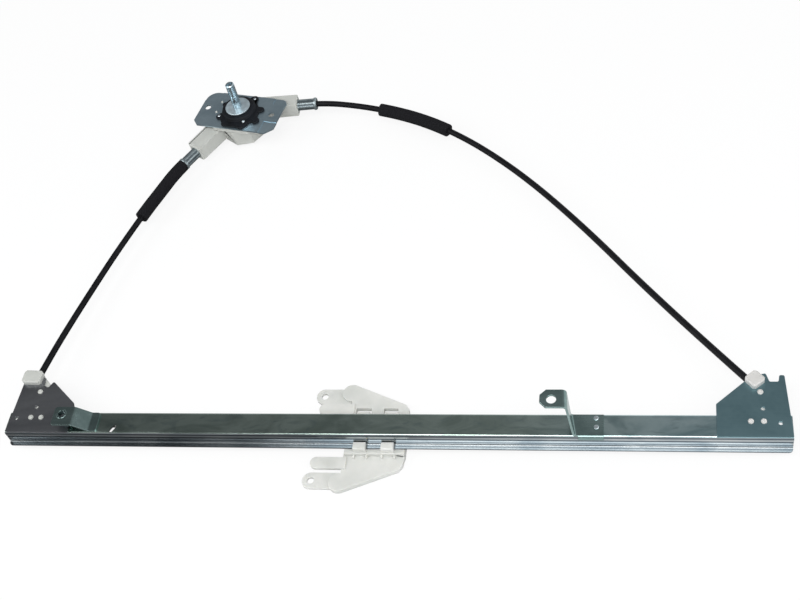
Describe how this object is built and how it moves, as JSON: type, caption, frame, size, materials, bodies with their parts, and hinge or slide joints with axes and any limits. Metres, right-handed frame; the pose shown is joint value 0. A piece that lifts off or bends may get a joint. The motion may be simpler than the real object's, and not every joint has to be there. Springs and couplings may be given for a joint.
{
  "type": "window regulator",
  "caption": "Hand-cranked cable window regulator: a crank unit with drum and brake, sheathed cables, and a hat-section rail with a sliding glass carrier.",
  "frame": {"origin": "on the crank spindle's axis, in the outer face of the mounting plate", "axes": "+Z along the spindle, out of the door panel towards the crank handle; +X along the rail, from the end with the short conduit to the end with the long one; +Y from the rail towards the crank unit"},
  "size_m": [0.676, 0.4644, 0.07],
  "materials": {
    "dark_coated_steel": "satin",
    "coated_steel": "satin",
    "zinc_steel": "bright",
    "spring_steel": "oiled",
    "steel_cable": "greased",
    "white_nylon": "smooth",
    "natural_nylon": "translucent",
    "natural_plastic": "smooth",
    "black_plastic": "smooth",
    "black_sheath": "smooth",
    "black_foam": "soft"
  },
  "bodies": {
    "frame": {"rail": "dark_coated_steel", "left_bracket": "dark_coated_steel", "right_bracket": "dark_coated_steel", "left_guide": "white_nylon", "right_guide": "white_nylon", "left_tab": "coated_steel", "mid_tab": "coated_steel", "tab_rivets": "zinc_steel", "mounting_plate": "coated_steel", "drum_housing": "white_nylon", "brake_cover": "black_plastic", "cover_rivets": "zinc_steel", "left_ferrule": "zinc_steel", "right_ferrule": "zinc_steel", "left_conduit": "black_sheath", "right_conduit": "black_sheath", "left_foam_sleeve": "black_foam", "right_foam_sleeve": "black_foam", "left_cable": "steel_cable", "right_cable": "steel_cable"},
    "crank": {"crank_spindle": "zinc_steel", "spindle_washer": "zinc_steel", "brake_driver": "zinc_steel", "wrap_spring": "spring_steel", "cable_drum": "natural_plastic", "cable_windings": "steel_cable", "drum_nipples": "zinc_steel"},
    "carrier": {"carrier": "natural_nylon", "carrier_nipples": "zinc_steel"}
  },
  "joints": [
    {"name": "spindle_turn", "type": "hinge", "parent": "frame", "child": "crank", "pos_m": [0, 0, 0], "axis": [0, 0, 1], "range_deg": [-900, 900]},
    {"name": "carrier_slide", "type": "slide", "parent": "frame", "child": "carrier", "axis": [1, 0, 0], "range_m": [-0.22, 0.22]}
  ],
  "couplings": [
    {"joint": "carrier_slide", "follows": "spindle_turn", "m_per_rad": 0.014}
  ]
}
